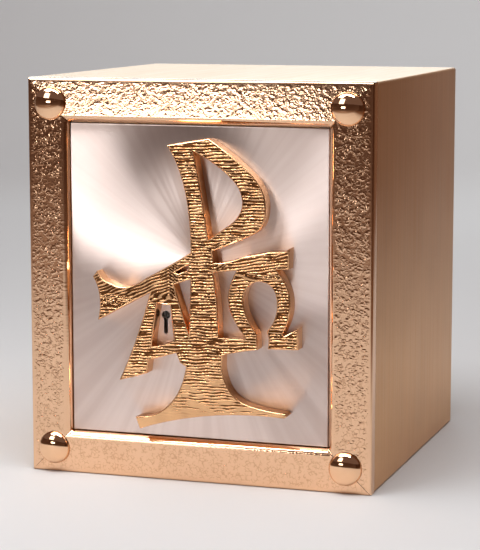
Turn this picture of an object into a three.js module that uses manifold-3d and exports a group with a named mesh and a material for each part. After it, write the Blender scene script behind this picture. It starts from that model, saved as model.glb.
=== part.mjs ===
// A small gilt altar tabernacle: a cabinet of satin gold sheet with a mitred, hammered front moulding,
// four domed corner studs, and a silver door that carries a cast Chi-Rho monogram with Alpha and Omega.
//
// Millimetres, +Z up. The origin is the centre of the cabinet's underside, and the front faces -Y.
// Inside the "front" group, y is the depth behind the moulding's outer front edge.

import * as THREE from 'three';
import { mergeVertices } from 'three/addons/utils/BufferGeometryUtils.js';
import Module from 'manifold-3d';

const wasm = await Module();
wasm.setup();

// Cabinet of folded sheet
const WIDTH = 280;
const HEIGHT = 314;
const DEPTH = 283;
const TOUCH_GAP = 0.3;
const SHEET_THICKNESS = 2.5;
const FOLD_RADIUS = 2.4;
const BACK_EDGE_RADIUS = 2;
const BACK_PLATE_RECESS = 2;

// Front moulding, measured across its section
const MOULDING_WIDTH = 34;
const MOULDING_THICKNESS = 10.5;
const FACE_RISE = 2.5;
const INNER_BEVEL_WIDTH = 4.5;
const INNER_BEVEL_DEPTH = 4;
const OUTER_EDGE_RADIUS = 2.2;
const OUTER_EDGE_STEPS = 3;
const MITRE_GAP = 0.3;

// Hammered relief on the moulding's face
const HAMMER_PITCH = 7;
const HAMMER_DEPTH = 0.4;
const HAMMER_SEED_STEP = 24;

// Low domed corner studs, each in a shallow round seat
const STUD_RADIUS = 12.9;
const STUD_RISE = 6.4;
const STUD_INSET = 20;
const STUD_SPRING_DEPTH = -2;
const STUD_SEAT_DEPTH = 0.8;

// Door plate
const DOOR_THICKNESS = 8;
const DOOR_SETBACK = 2.5;
const DOOR_CLEARANCE = 0.9;
const DOOR_EDGE_CHAMFER = 1.2;

// Pivot hinge at the door's right edge
const PIVOT_INSET = 5;
const PIVOT_SETBACK = 3.5;
const PIN_RADIUS = 1.5;
const PIN_CLEARANCE = 0.15;
const PIN_IN_DOOR = 10;
const PIN_IN_MOULDING = 6;

// Sheet ring behind the moulding, which the closed door rests on
const SURROUND_THICKNESS = 2.5;
const STOP_LIP = 6;

// Keyhole, and the lock behind it
const KEYHOLE_RADIUS = 3.45;
const KEYHOLE_SLOT_WIDTH = 3.3;
const KEYHOLE_SLOT_REACH = 14.9;
const LOCK_LEFT_OF_KEY = 40;
const LOCK_RIGHT_OF_KEY = 14;
const LOCK_ABOVE_KEY = 16;
const LOCK_BELOW_KEY = 30;
const LOCK_THICKNESS = 14;
const KEY_WELL_DEPTH = 10;
const BOLT_HEIGHT = 10;
const BOLT_THICKNESS = 5;
const BOLT_BELOW_KEY = 7;
const BOLT_IN_LOCK = 24;
const BOLT_TIP_CLEARANCE = 2;

// Monogram: a flat casting with an eased front edge and a bark-like face
const MONOGRAM_THICKNESS = 12.2;
const MONOGRAM_EDGE = 1.2;
const MONOGRAM_MARGIN_LEFT = 22.7;
const MONOGRAM_MARGIN_RIGHT = 20.6;
const MONOGRAM_MARGIN_TOP = 9.1;
const MONOGRAM_MARGIN_BOTTOM = 7.1;
const GROOVE_SPACING = 4.8;
const GROOVE_PITCH = 16;
const GROOVE_LENGTH = 13;
const GROOVE_WIDTH = 1.9;
const GROOVE_DEPTH = 0.9;
const GROOVE_TILT = 0.12;
const GROOVE_LENGTH_SHARE = 0.2;
const GROOVE_SHIFT_SHARE = 0.15;
const SMOOTH_FOOT_HEIGHT = 20;

// The keyhole's place, as shares of the ornament's width and height
const KEYHOLE_ACROSS_SHARE = 0.336;
const KEYHOLE_UP_SHARE = 0.39;

// How finely round things are divided
const CURVE_STEPS = 6;
const FOLD_STEPS = 4;
const ROUND_STEPS = 24;
const SMALL_ROUND_STEPS = 16;
const DOME_STEPS = 6;
const FLAT_ENOUGH = 0.001;

// Cutting tools run well past what they cut
const CUT_REACH = 1000;

// Places that follow from the sizes
const openingLeft = -WIDTH / 2 + MOULDING_WIDTH;
const openingRight = WIDTH / 2 - MOULDING_WIDTH;
const openingBottom = MOULDING_WIDTH;
const openingTop = HEIGHT - MOULDING_WIDTH;
const shellFront = MOULDING_THICKNESS + TOUCH_GAP;
const surroundBack = shellFront + SURROUND_THICKNESS;
const doorLeft = openingLeft + DOOR_CLEARANCE;
const doorRight = openingRight - DOOR_CLEARANCE;
const doorBottom = openingBottom + DOOR_CLEARANCE;
const doorTop = openingTop - DOOR_CLEARANCE;
const doorBack = DOOR_SETBACK + DOOR_THICKNESS;
const pivotX = doorRight - PIVOT_INSET;
const pivotDepth = DOOR_SETBACK + PIVOT_SETBACK;
const monogramBack = DOOR_SETBACK - TOUCH_GAP;
const monogramFront = monogramBack - MONOGRAM_THICKNESS;
const monogramLeft = doorLeft + MONOGRAM_MARGIN_LEFT;
const monogramRight = doorRight - MONOGRAM_MARGIN_RIGHT;
const monogramBottom = doorBottom + MONOGRAM_MARGIN_BOTTOM;
const monogramTop = doorTop - MONOGRAM_MARGIN_TOP;
const [keyX, keyZ] = onDoor(100 * KEYHOLE_ACROSS_SHARE, 100 * KEYHOLE_UP_SHARE);

const satinGold = finish(0xb98a5e, 0.42);
const polishedGold = finish(0xd9a066, 0.12);
const hammeredGold = finish(0xd8a878, 0.25);
const castGold = finish(0xd09a5a, 0.3);
const brushedSilver = finish(0xcfb9b2, 0.32);
const lockSteel = finish(0x8e8e8c, 0.4);

function finish(color, roughness) {
  return new THREE.MeshStandardMaterial({ color, roughness, metalness: 1 });
}

function part(group, name, shape, material) {
  const geometry = shape instanceof wasm.Manifold ? geometryOf(shape) : shape;
  const mesh = new THREE.Mesh(geometry, material);
  mesh.name = name;
  group.add(mesh);
  return mesh;
}

// The place on the door of a point of the ornament, given in hundredths of its width and height
function onDoor(across, up) {
  return [
    monogramLeft + across / 100 * (monogramRight - monogramLeft),
    monogramBottom + up / 100 * (monogramTop - monogramBottom),
  ];
}

// A repeatable value from -1 to 1 for a pair of whole numbers
function scatter(i, j) {
  const wave = Math.sin(i * 127.1 + j * 311.7) * 43758.5453;
  return 2 * (wave - Math.floor(wave)) - 1;
}

// Solids for joining and cutting
function solid(geometry) {
  const bare = geometry.clone();
  for (const name of Object.keys(bare.attributes)) {
    if (name !== 'position') bare.deleteAttribute(name);
  }
  const merged = mergeVertices(bare);
  return new wasm.Manifold(new wasm.Mesh({
    numProp: 3,
    vertProperties: new Float32Array(merged.attributes.position.array),
    triVerts: new Uint32Array(merged.index.array),
  }));
}

function geometryOf(manifold) {
  const mesh = manifold.simplify(FLAT_ENOUGH).getMesh();
  const geometry = new THREE.BufferGeometry();
  geometry.setAttribute('position', new THREE.BufferAttribute(mesh.vertProperties, 3));
  geometry.setIndex(new THREE.BufferAttribute(mesh.triVerts, 1));
  return geometry;
}

function block(left, right, front, back, bottom, top) {
  const geometry = new THREE.BoxGeometry(right - left, back - front, top - bottom);
  return geometry.translate((left + right) / 2, (front + back) / 2, (bottom + top) / 2);
}

function upright(radius, x, depth, bottom, top) {
  const geometry = new THREE.CylinderGeometry(radius, radius, top - bottom, SMALL_ROUND_STEPS);
  return geometry.rotateX(Math.PI / 2).translate(x, depth, (bottom + top) / 2);
}

// An outline drawn in X and Z, given thickness from one depth to another
function slab(outline, front, back) {
  const geometry = new THREE.ExtrudeGeometry(outline, {
    depth: back - front,
    bevelEnabled: false,
    curveSegments: CURVE_STEPS,
  });
  return geometry.rotateX(Math.PI / 2).translate(0, back, 0);
}

// The same with one end eased all round: both ends are eased first, and the square end is then cut off
function easedSlab(outline, easedEnd, squareEnd, ease, steps) {
  const away = Math.sign(squareEnd - easedEnd);
  const front = Math.min(easedEnd, squareEnd + away * ease);
  const back = Math.max(easedEnd, squareEnd + away * ease);
  const geometry = new THREE.ExtrudeGeometry(outline, {
    depth: back - front - 2 * ease,
    bevelThickness: ease,
    bevelSize: ease,
    bevelOffset: -ease,
    bevelSegments: steps,
    curveSegments: CURVE_STEPS,
  });
  geometry.rotateX(Math.PI / 2).translate(0, back - ease, 0);
  const beyond = [squareEnd, squareEnd + away * CUT_REACH].sort((a, b) => a - b);
  return solid(geometry).subtract(solid(block(-CUT_REACH, CUT_REACH, ...beyond, -CUT_REACH, CUT_REACH)));
}

function rectangle(left, right, bottom, top) {
  const outline = new THREE.Shape();
  outline.moveTo(left, bottom);
  outline.lineTo(right, bottom);
  outline.lineTo(right, top);
  outline.lineTo(left, top);
  return outline;
}

function roundedRectangle(left, right, bottom, top, radius) {
  const outline = new THREE.Shape();
  const corners = [[right, bottom], [right, top], [left, top], [left, bottom]];
  corners.forEach(([x, z], corner) => {
    const centreX = x + (x === right ? -radius : radius);
    const centreZ = z + (z === top ? -radius : radius);
    for (let step = 0; step <= FOLD_STEPS; step += 1) {
      const angle = (corner - 1 + step / FOLD_STEPS) * Math.PI / 2;
      const point = [centreX + radius * Math.cos(angle), centreZ + radius * Math.sin(angle)];
      if (corner === 0 && step === 0) outline.moveTo(...point);
      else outline.lineTo(...point);
    }
  });
  return outline;
}

// Cabinet: the folded wrap of top, bottom and sides, its back plate, and the ring behind the moulding
function caseShell() {
  const outline = roundedRectangle(-WIDTH / 2, WIDTH / 2, 0, HEIGHT, FOLD_RADIUS);
  const hollow = block(
    -WIDTH / 2 + SHEET_THICKNESS, WIDTH / 2 - SHEET_THICKNESS,
    -CUT_REACH, CUT_REACH, SHEET_THICKNESS, HEIGHT - SHEET_THICKNESS,
  );
  return easedSlab(outline, DEPTH, shellFront, BACK_EDGE_RADIUS, OUTER_EDGE_STEPS).subtract(solid(hollow));
}

function backPlate() {
  const edge = SHEET_THICKNESS + TOUCH_GAP;
  const back = DEPTH - BACK_PLATE_RECESS;
  return block(-WIDTH / 2 + edge, WIDTH / 2 - edge, back - SHEET_THICKNESS, back, edge, HEIGHT - edge);
}

// The hinge side is open to the full width, because the door's back corner swings through there
function frontSurround() {
  const edge = SHEET_THICKNESS + TOUCH_GAP;
  const ring = solid(block(
    -WIDTH / 2 + edge, WIDTH / 2 - edge, shellFront, surroundBack, edge, HEIGHT - edge,
  ));
  const doorway = block(
    openingLeft + STOP_LIP, openingRight, -CUT_REACH, CUT_REACH,
    openingBottom + STOP_LIP, openingTop - STOP_LIP,
  );
  const hingeRelief = block(
    pivotX - PIVOT_INSET, openingRight, -CUT_REACH, CUT_REACH, openingBottom, openingTop,
  );
  return ring.subtract(solid(doorway)).subtract(solid(hingeRelief));
}

// Moulding

// The section as [distance in from the outer edge, depth], from the rounded outer edge across the face
function mouldingFace() {
  const faceStart = OUTER_EDGE_RADIUS;
  const faceEnd = MOULDING_WIDTH - INNER_BEVEL_WIDTH;
  const rows = Math.max(2, Math.round((faceEnd - faceStart) / HAMMER_PITCH));
  const face = [];
  for (let row = 0; row <= rows; row += 1) {
    const share = row / rows;
    face.push([faceStart + share * (faceEnd - faceStart), -FACE_RISE * share]);
  }
  return face;
}

function mouldingSection() {
  const edge = [];
  for (let step = 0; step < OUTER_EDGE_STEPS; step += 1) {
    const angle = step / OUTER_EDGE_STEPS * Math.PI / 2;
    edge.push([OUTER_EDGE_RADIUS * (1 - Math.cos(angle)), OUTER_EDGE_RADIUS * (1 - Math.sin(angle))]);
  }
  const face = mouldingFace();
  const points = [
    [0, MOULDING_THICKNESS],
    ...edge,
    ...face,
    [MOULDING_WIDTH, INNER_BEVEL_DEPTH - FACE_RISE],
    [MOULDING_WIDTH, MOULDING_THICKNESS],
  ];
  const faceStart = 1 + edge.length;
  return { points, firstHammered: faceStart + 1, lastHammered: faceStart + face.length - 2 };
}

// One mitred length, lying along X with its outer edge down at the distance "reach" from the centre
function mouldingLength(length, reach, seed) {
  const { points, firstHammered, lastHammered } = mouldingSection();
  const stations = Math.round(length / HAMMER_PITCH);
  const count = points.length;
  const positions = [];
  for (let station = 0; station <= stations; station += 1) {
    points.forEach(([inward, depth], row) => {
      const half = length / 2 - inward - MITRE_GAP / Math.SQRT2;
      const x = half * (2 * station / stations - 1);
      const hammered = station > 0 && station < stations && row >= firstHammered && row <= lastHammered;
      const dent = hammered ? HAMMER_DEPTH * scatter(station + seed, row) : 0;
      positions.push(x, depth + dent, inward - reach);
    });
  }
  const faces = [];
  for (let station = 0; station < stations; station += 1) {
    for (let row = 0; row < count; row += 1) {
      const next = (row + 1) % count;
      const [a, b] = [station * count + row, station * count + next];
      const [c, d] = [a + count, b + count];
      faces.push(a, c, b, b, c, d);
    }
  }
  const flat = points.map(([inward, depth]) => new THREE.Vector2(inward, depth));
  for (const [a, b, c] of THREE.ShapeUtils.triangulateShape(flat, [])) {
    const end = stations * count;
    faces.push(a, b, c, end + a, end + c, end + b);
  }
  const geometry = new THREE.BufferGeometry();
  geometry.setAttribute('position', new THREE.Float32BufferAttribute(positions, 3));
  geometry.setIndex(faces);
  return geometry;
}

function studPlaces() {
  const x = WIDTH / 2 - STUD_INSET;
  return {
    bottom_left: [-x, STUD_INSET],
    bottom_right: [x, STUD_INSET],
    top_left: [-x, HEIGHT - STUD_INSET],
    top_right: [x, HEIGHT - STUD_INSET],
  };
}

function studSeats() {
  const radius = STUD_RADIUS + TOUCH_GAP;
  const floor = STUD_SEAT_DEPTH + TOUCH_GAP;
  const seats = Object.values(studPlaces()).map(([x, z]) => {
    const cutter = new THREE.CylinderGeometry(radius, radius, CUT_REACH, ROUND_STEPS);
    return solid(cutter.translate(x, floor - CUT_REACH / 2, z));
  });
  return wasm.Manifold.union(seats);
}

// Sockets for the two pivot pins, in the moulding above and below the door
function pinSockets() {
  const radius = PIN_RADIUS + PIN_CLEARANCE;
  const reach = PIN_IN_MOULDING + TOUCH_GAP;
  return wasm.Manifold.union([
    solid(upright(radius, pivotX, pivotDepth, openingTop - DOOR_CLEARANCE, openingTop + reach)),
    solid(upright(radius, pivotX, pivotDepth, openingBottom - reach, openingBottom + DOOR_CLEARANCE)),
  ]);
}

function moulding(group) {
  const cuts = studSeats().add(pinSockets());
  const sides = {
    bottom: { length: WIDTH, reach: HEIGHT / 2, turn: 0 },
    left: { length: HEIGHT, reach: WIDTH / 2, turn: Math.PI / 2 },
    top: { length: WIDTH, reach: HEIGHT / 2, turn: Math.PI },
    right: { length: HEIGHT, reach: WIDTH / 2, turn: -Math.PI / 2 },
  };
  Object.entries(sides).forEach(([side, { length, reach, turn }], index) => {
    const blank = mouldingLength(length, reach, index * HAMMER_SEED_STEP);
    blank.rotateY(turn).translate(0, 0, HEIGHT / 2);
    part(group, `moulding_${side}`, solid(blank).subtract(cuts), hammeredGold);
  });
}

function cornerStud() {
  const profile = [new THREE.Vector2(0, STUD_SEAT_DEPTH), new THREE.Vector2(STUD_RADIUS, STUD_SEAT_DEPTH)];
  for (let step = 0; step < DOME_STEPS; step += 1) {
    const angle = step / DOME_STEPS * Math.PI / 2;
    const radius = STUD_RADIUS * Math.cos(angle);
    profile.push(new THREE.Vector2(radius, STUD_SPRING_DEPTH - STUD_RISE * Math.sin(angle)));
  }
  profile.push(new THREE.Vector2(0, STUD_SPRING_DEPTH - STUD_RISE));
  return new THREE.LatheGeometry(profile.reverse(), ROUND_STEPS);
}

function studs(group) {
  for (const [corner, [x, z]] of Object.entries(studPlaces())) {
    part(group, `corner_stud_${corner}`, cornerStud(), polishedGold).position.set(x, 0, z);
  }
}

// Door

// A round hole with a slot below it that ends in a half round
function keyholeOutline() {
  const slot = KEYHOLE_SLOT_WIDTH / 2;
  const neck = Math.asin(slot / KEYHOLE_RADIUS);
  const outline = new THREE.Shape();
  outline.absarc(keyX, keyZ, KEYHOLE_RADIUS, neck - Math.PI / 2, Math.PI * 1.5 - neck, false);
  outline.absarc(keyX, keyZ - KEYHOLE_SLOT_REACH + slot, slot, Math.PI, 2 * Math.PI, false);
  return outline;
}

function doorPlate() {
  const outline = rectangle(doorLeft, doorRight, doorBottom, doorTop);
  const bore = PIN_RADIUS + PIN_CLEARANCE;
  const reach = PIN_IN_DOOR + TOUCH_GAP;
  return easedSlab(outline, DOOR_SETBACK, doorBack, DOOR_EDGE_CHAMFER, 1)
    .subtract(solid(slab(keyholeOutline(), -CUT_REACH, CUT_REACH)))
    .subtract(solid(upright(bore, pivotX, pivotDepth, doorTop - reach, doorTop + reach)))
    .subtract(solid(upright(bore, pivotX, pivotDepth, doorBottom - reach, doorBottom + reach)));
}

function hingePins(group) {
  const reach = PIN_IN_MOULDING;
  const top = upright(PIN_RADIUS, pivotX, pivotDepth, doorTop - PIN_IN_DOOR, openingTop + reach);
  const bottom = upright(PIN_RADIUS, pivotX, pivotDepth, openingBottom - reach, doorBottom + PIN_IN_DOOR);
  part(group, 'hinge_pin_top', top, lockSteel);
  part(group, 'hinge_pin_bottom', bottom, lockSteel);
}

// Lock: a plain case on the door's back, with a key well and a bolt that slides out to the left
const lockFront = doorBack + TOUCH_GAP;
const boltFront = surroundBack + TOUCH_GAP;
const lockLeft = keyX - LOCK_LEFT_OF_KEY;
const boltMiddle = keyZ - BOLT_BELOW_KEY;

function lockCase() {
  const body = solid(block(
    lockLeft, keyX + LOCK_RIGHT_OF_KEY, lockFront, lockFront + LOCK_THICKNESS,
    keyZ - LOCK_BELOW_KEY, keyZ + LOCK_ABOVE_KEY,
  ));
  const well = slab(keyholeOutline(), -CUT_REACH, lockFront + KEY_WELL_DEPTH);
  const channel = block(
    lockLeft - BOLT_IN_LOCK, lockLeft + BOLT_IN_LOCK,
    boltFront - TOUCH_GAP, boltFront + BOLT_THICKNESS + TOUCH_GAP,
    boltMiddle - BOLT_HEIGHT / 2 - TOUCH_GAP, boltMiddle + BOLT_HEIGHT / 2 + TOUCH_GAP,
  );
  return body.subtract(solid(well)).subtract(solid(channel));
}

function lockBolt() {
  return block(
    openingLeft + STOP_LIP + BOLT_TIP_CLEARANCE, lockLeft + BOLT_IN_LOCK - TOUCH_GAP,
    boltFront, boltFront + BOLT_THICKNESS,
    boltMiddle - BOLT_HEIGHT / 2, boltMiddle + BOLT_HEIGHT / 2,
  );
}

// Monogram

// A closed outline in hundredths of the ornament: a step is a corner [across, up], or a curve
// [pull across, pull up, end across, end up]
function outlined(start, ...steps) {
  const outline = new THREE.Shape();
  outline.moveTo(...onDoor(...start));
  for (const [across, up, ...end] of steps) {
    if (end.length === 0) outline.lineTo(...onDoor(across, up));
    else outline.quadraticCurveTo(...onDoor(across, up), ...onDoor(...end));
  }
  return outline;
}

function withHole(outline, ...hole) {
  outline.holes.push(outlined(...hole));
  return outline;
}

// The tall stem with its sloping head, and the bowl of the Rho
function rho() {
  const outline = outlined(
    [37, 97.5], [57.3, 100], [67.9, 95.2, 78.5, 87.9], [84.7, 83.1, 84.6, 77.4], [84.6, 71.7, 80.3, 69.3],
    [75.7, 66.9, 58.8, 62.3], [59.7, 58.5], [59.6, 54.4], [61.3, 45.2], [62.1, 33.1], [63.5, 26.3],
    [63.5, 21.9], [46, 21.9], [47.2, 29.8, 47.7, 37.7], [48.3, 52.5], [48.4, 63.6], [47.9, 86, 37, 97.5],
  );
  return withHole(
    outline,
    [49.9, 95.6], [52, 89, 53.4, 82.7], [55.2, 75.4, 57.1, 66.2], [66.6, 71.1], [73.1, 74.3, 73.3, 78.9],
    [73.2, 83.1, 68.4, 86.6], [59.9, 92.5, 49.9, 95.6],
  );
}

// The flared foot, which runs out to the left and to the right
function foot() {
  return outlined(
    [41.1, 29.8], [63.9, 29.8], [63.6, 23.2], [64.6, 14.7, 73.3, 11.3], [80.5, 9.1, 94, 8.5], [95, 7.7],
    [93.7, 6.9], [55.8, 8.6, 22.9, 0], [20.9, 4], [26.5, 4.5], [31.4, 5.2, 35.5, 7.7],
    [43.7, 12.5, 46, 22.5], [43.1, 23.7], [41.1, 27],
  );
}

// The bar that joins the feet of the Alpha and of the Omega across the stem
function baseBar() {
  return outlined(
    [27.7, 24], [41.1, 27], [63.9, 27.2], [70.3, 28.5, 80.7, 29.7], [80.5, 34.9], [74.5, 33.9],
    [74.3, 33], [41, 33], [41, 32], [37.4, 29.6, 29.1, 28.7], [22.4, 28.1],
  );
}

function alpha() {
  return outlined(
    [28.5, 47.4], [40.1, 50.7], [46.3, 36.8], [48.8, 30.7], [40.3, 30.7], [39.8, 33.3], [38.3, 43.3],
    [31.9, 43.9], [30.3, 35.7], [29.1, 28.7], [27.6, 23.9], [26.8, 19.5], [20.6, 18], [12.8, 16.4],
    [21.8, 29.8, 28.5, 47.4],
  );
}

// The left arm of the Chi, which ends in a fish tail, with a slit beside the stem
function leftArm() {
  const outline = outlined(
    [50.6, 62.3], [47.6, 61.2], [38.5, 56.9, 26.5, 52.2], [19.4, 47.9, 11.6, 49], [5.1, 50.9],
    [2, 53.9], [0, 51.9], [5.3, 45.6, 2.3, 36.9], [13.1, 41.2], [27.6, 47],
    [40.1, 50.4], [48.3, 52.5], [50.6, 52.5],
  );
  return withHole(outline, [40.7, 54.6], [42.2, 54.1], [47.3, 55.6], [47.3, 57.4]);
}

function rightArm() {
  return outlined(
    [54.2, 55], [59.8, 55.3], [71.4, 56.2], [95.5, 57.3], [95.8, 64.3], [93.7, 63.1], [86.3, 62.8],
    [79.3, 61.6, 74.3, 61], [66.1, 58.3, 59.7, 58.4], [54.2, 58.3],
  );
}

function omega() {
  return outlined(
    [80.7, 29.8], [80.4, 35.1], [73.9, 41.2, 74, 46.5], [74.8, 52.4, 81.7, 52.8], [90.1, 52.6, 89.9, 44.3],
    [89.5, 39.7, 85.1, 36.1], [86, 33.7], [85.7, 30.1], [100, 30.4], [100, 37.7], [93.4, 34.8],
    [92.5, 35.3], [96.4, 40.1, 96.4, 45.6], [96.1, 52.9, 88.3, 57.9], [71.4, 57.5], [66.4, 50.9, 66.4, 46.1],
    [66.9, 40.4, 74.5, 33.9], [74.3, 30.3],
  );
}

// Short pointed grooves in staggered rows over the whole face
function grooves() {
  const cutters = [];
  const rows = Math.floor((monogramTop - monogramBottom - SMOOTH_FOOT_HEIGHT) / GROOVE_SPACING);
  const columns = Math.ceil((monogramRight - monogramLeft) / GROOVE_PITCH);
  for (let row = 0; row < rows; row += 1) {
    for (let column = 0; column <= columns; column += 1) {
      const length = GROOVE_LENGTH * (1 + GROOVE_LENGTH_SHARE * scatter(row, column));
      const shiftX = GROOVE_SHIFT_SHARE * scatter(column, row);
      const shiftZ = GROOVE_SHIFT_SHARE * scatter(row + column, row);
      const x = monogramLeft + GROOVE_PITCH * (column + (row % 2) / 2 + shiftX);
      const z = monogramTop - GROOVE_SPACING * (row + 1 + shiftZ);
      const cutter = new THREE.OctahedronGeometry(1).scale(length / 2, GROOVE_DEPTH, GROOVE_WIDTH / 2);
      cutter.rotateY(GROOVE_TILT * scatter(column, row + column)).translate(x, monogramFront, z);
      cutters.push(solid(cutter));
    }
  }
  return wasm.Manifold.union(cutters);
}

function monogram() {
  const strokes = [rho(), foot(), baseBar(), alpha(), leftArm(), rightArm(), omega()];
  const castings = strokes.map(
    (outline) => easedSlab(outline, monogramFront, monogramBack, MONOGRAM_EDGE, 1),
  );
  return wasm.Manifold.union(castings).subtract(grooves());
}

const tabernacle = new THREE.Group();
const front = new THREE.Group();
const door = new THREE.Group();
front.position.set(0, -DEPTH / 2, 0);
tabernacle.add(front);
front.add(door);

part(front, 'case_shell', caseShell(), satinGold);
part(front, 'back_plate', backPlate(), satinGold);
part(front, 'front_surround', frontSurround(), satinGold);
moulding(front);
studs(front);
part(door, 'door_plate', doorPlate(), brushedSilver);
part(door, 'monogram', monogram(), castGold);
hingePins(door);
part(door, 'lock_case', lockCase(), lockSteel);
part(door, 'lock_bolt', lockBolt(), lockSteel);

export default tabernacle;
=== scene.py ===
"""The looks of a small gilt altar tabernacle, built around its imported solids.

The cabinet is a folded wrap of satin gold sheet with a mitred, hammered front moulding and four low
domed studs. Its silver door carries a cast gold Chi-Rho monogram with Alpha and Omega.

Sizes are in millimetres. Places are in metres, +Z up, with the front facing -Y. A depth is measured
back from the moulding's outer front edge.
"""

from __future__ import annotations

import logging
import math
from collections.abc import Callable, Iterator, Sequence
from contextlib import contextmanager
from dataclasses import dataclass, field, fields
from enum import Enum

import bmesh
import bpy
from mathutils import Euler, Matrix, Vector, noise

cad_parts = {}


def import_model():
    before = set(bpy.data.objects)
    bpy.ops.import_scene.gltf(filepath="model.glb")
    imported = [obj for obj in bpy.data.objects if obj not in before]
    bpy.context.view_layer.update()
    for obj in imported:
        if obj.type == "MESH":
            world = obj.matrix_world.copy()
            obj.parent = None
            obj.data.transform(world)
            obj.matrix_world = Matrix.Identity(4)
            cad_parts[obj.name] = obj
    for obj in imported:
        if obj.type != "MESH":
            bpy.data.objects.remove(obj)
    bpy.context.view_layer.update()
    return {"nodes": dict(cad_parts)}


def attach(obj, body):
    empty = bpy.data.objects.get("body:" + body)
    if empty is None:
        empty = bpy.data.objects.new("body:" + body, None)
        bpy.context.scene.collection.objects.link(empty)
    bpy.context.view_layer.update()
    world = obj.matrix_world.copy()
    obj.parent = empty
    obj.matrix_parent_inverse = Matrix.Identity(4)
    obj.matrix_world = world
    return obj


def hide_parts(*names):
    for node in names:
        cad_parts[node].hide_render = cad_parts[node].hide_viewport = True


MM = 0.001
WIDTH = 280.0
HEIGHT = 314.0
DEPTH = 283.0
TOUCH_GAP = 0.3
MOULDING_WIDTH = 34.0
DOOR_CLEARANCE = 0.9
DOOR_SETBACK = 2.5
NODE_SPACING = 220

# In metres: how far a point may lie off a plane, and how close two points are when they merge.
TINY = 1e-6
MERGE = 2e-6

log = logging.getLogger("tabernacle")

Piece = bpy.types.Object
Colour = tuple[float, float, float]
Range = tuple[float, float]
Step = tuple[float, ...]


class Body(Enum):
    """The bodies that the modelled pieces move with."""

    CABINET = "cabinet"
    DOOR = "door"


class Pick(Enum):
    """What is picked in edit mode."""

    EDGE = "EDGE"
    FACE = "FACE"


class Side(Enum):
    """The four lengths of the moulding, each with its turn about Y from the bottom one."""

    BOTTOM = 0
    LEFT = 1
    TOP = 2
    RIGHT = 3


def place(x: float, depth: float, z: float) -> Vector:
    """Gives the place in metres of a point at a depth behind the moulding's outer front edge.

    Args:
        x: Millimetres to the right of the middle.
        depth: Millimetres behind the front edge.
        z: Millimetres above the base.

    Returns:
        The point in metres.
    """
    return Vector((x * MM, (depth - DEPTH / 2) * MM, z * MM))


def smoothstep(low: float, high: float, value: float) -> float:
    """Rises smoothly from 0 at low to 1 at high.

    Args:
        low: Where the rise starts.
        high: Where it ends, which may lie below the start.
        value: The value to judge.

    Returns:
        A share from 0 to 1.
    """
    share = min(1.0, max(0.0, (value - low) / (high - low)))
    return share * share * (3 - 2 * share)


def deselect_all() -> None:
    """Leaves no object selected."""
    bpy.ops.object.select_all(action="DESELECT")


def take(piece: Piece) -> None:
    """Makes one object the selected and active one.

    Args:
        piece: The object to work on.
    """
    deselect_all()
    piece.select_set(True)
    bpy.context.view_layer.objects.active = piece


@contextmanager
def editing(piece: Piece) -> Iterator[None]:
    """Works on a piece in edit mode, and leaves edit mode at the end.

    Args:
        piece: The object to work on.

    Yields:
        Nothing.
    """
    take(piece)
    bpy.ops.object.mode_set(mode="EDIT")
    yield
    bpy.ops.object.mode_set(mode="OBJECT")


def pick(piece: Piece, kind: Pick, test: Callable[[Vector], bool]) -> None:
    """Selects the edges or faces that have every corner where the test says.

    Args:
        piece: The object in edit mode.
        kind: What to select.
        test: Says whether a corner's place passes.
    """
    bpy.ops.mesh.select_mode(type=kind.value)
    bpy.ops.mesh.select_all(action="DESELECT")
    mesh = bmesh.from_edit_mesh(piece.data)
    for item in mesh.edges if kind is Pick.EDGE else mesh.faces:
        if all(test(v.co) for v in item.verts):
            item.select_set(True)
    mesh.select_flush_mode()
    bmesh.update_edit_mesh(piece.data)


def extrude(offset: Vector) -> None:
    """Extrudes what is selected by an offset.

    Args:
        offset: How far the new part moves, in metres.
    """
    bpy.ops.mesh.extrude_region_move(TRANSFORM_OT_translate={"value": offset})


def apply_transform(piece: Piece) -> None:
    """Puts a piece's place, turn and scale into its mesh."""
    take(piece)
    bpy.ops.object.transform_apply(location=True, rotation=True, scale=True)


def modify(piece: Piece, kind: str, **settings: object) -> None:
    """Adds a modifier with its settings and applies it.

    Args:
        piece: The object to change.
        kind: Blender's name of the modifier type.
        settings: The modifier's own settings.
    """
    take(piece)
    modifier = piece.modifiers.new(kind.title(), kind)
    for key, value in settings.items():
        setattr(modifier, key, value)
    bpy.ops.object.modifier_apply(modifier=modifier.name)


def combine(piece: Piece, tool: Piece, operation: str) -> None:
    """Joins or cuts a piece with a tool, and removes the tool.

    Args:
        piece: The object to change.
        tool: The object that is joined to it or cut from it.
        operation: UNION or DIFFERENCE.
    """
    modify(piece, "BOOLEAN", operation=operation, object=tool, solver="EXACT")
    bpy.data.objects.remove(tool)


def clean(piece: Piece, angle: float = 35.0) -> None:
    """Merges doubled points, turns the faces outwards and smooths the gentle edges.

    Args:
        piece: The object to finish.
        angle: Edges sharper than this many degrees stay sharp.
    """
    with editing(piece):
        bpy.ops.mesh.select_all(action="SELECT")
        bpy.ops.mesh.remove_doubles(threshold=MERGE)
        bpy.ops.mesh.normals_make_consistent(inside=False)
    take(piece)
    bpy.ops.object.shade_smooth_by_angle(angle=math.radians(angle))


def copy_of(piece: Piece, name: str, offset: Vector) -> Piece:
    """Copies a piece with a mesh of its own, and moves the copy's mesh.

    Args:
        piece: The object to copy.
        name: The copy's name.
        offset: How far the copy lies from the piece.

    Returns:
        The copy.
    """
    take(piece)
    bpy.ops.object.duplicate(linked=False)
    copy = bpy.context.object
    copy.name = name
    copy.location = offset
    apply_transform(copy)
    return copy


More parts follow.
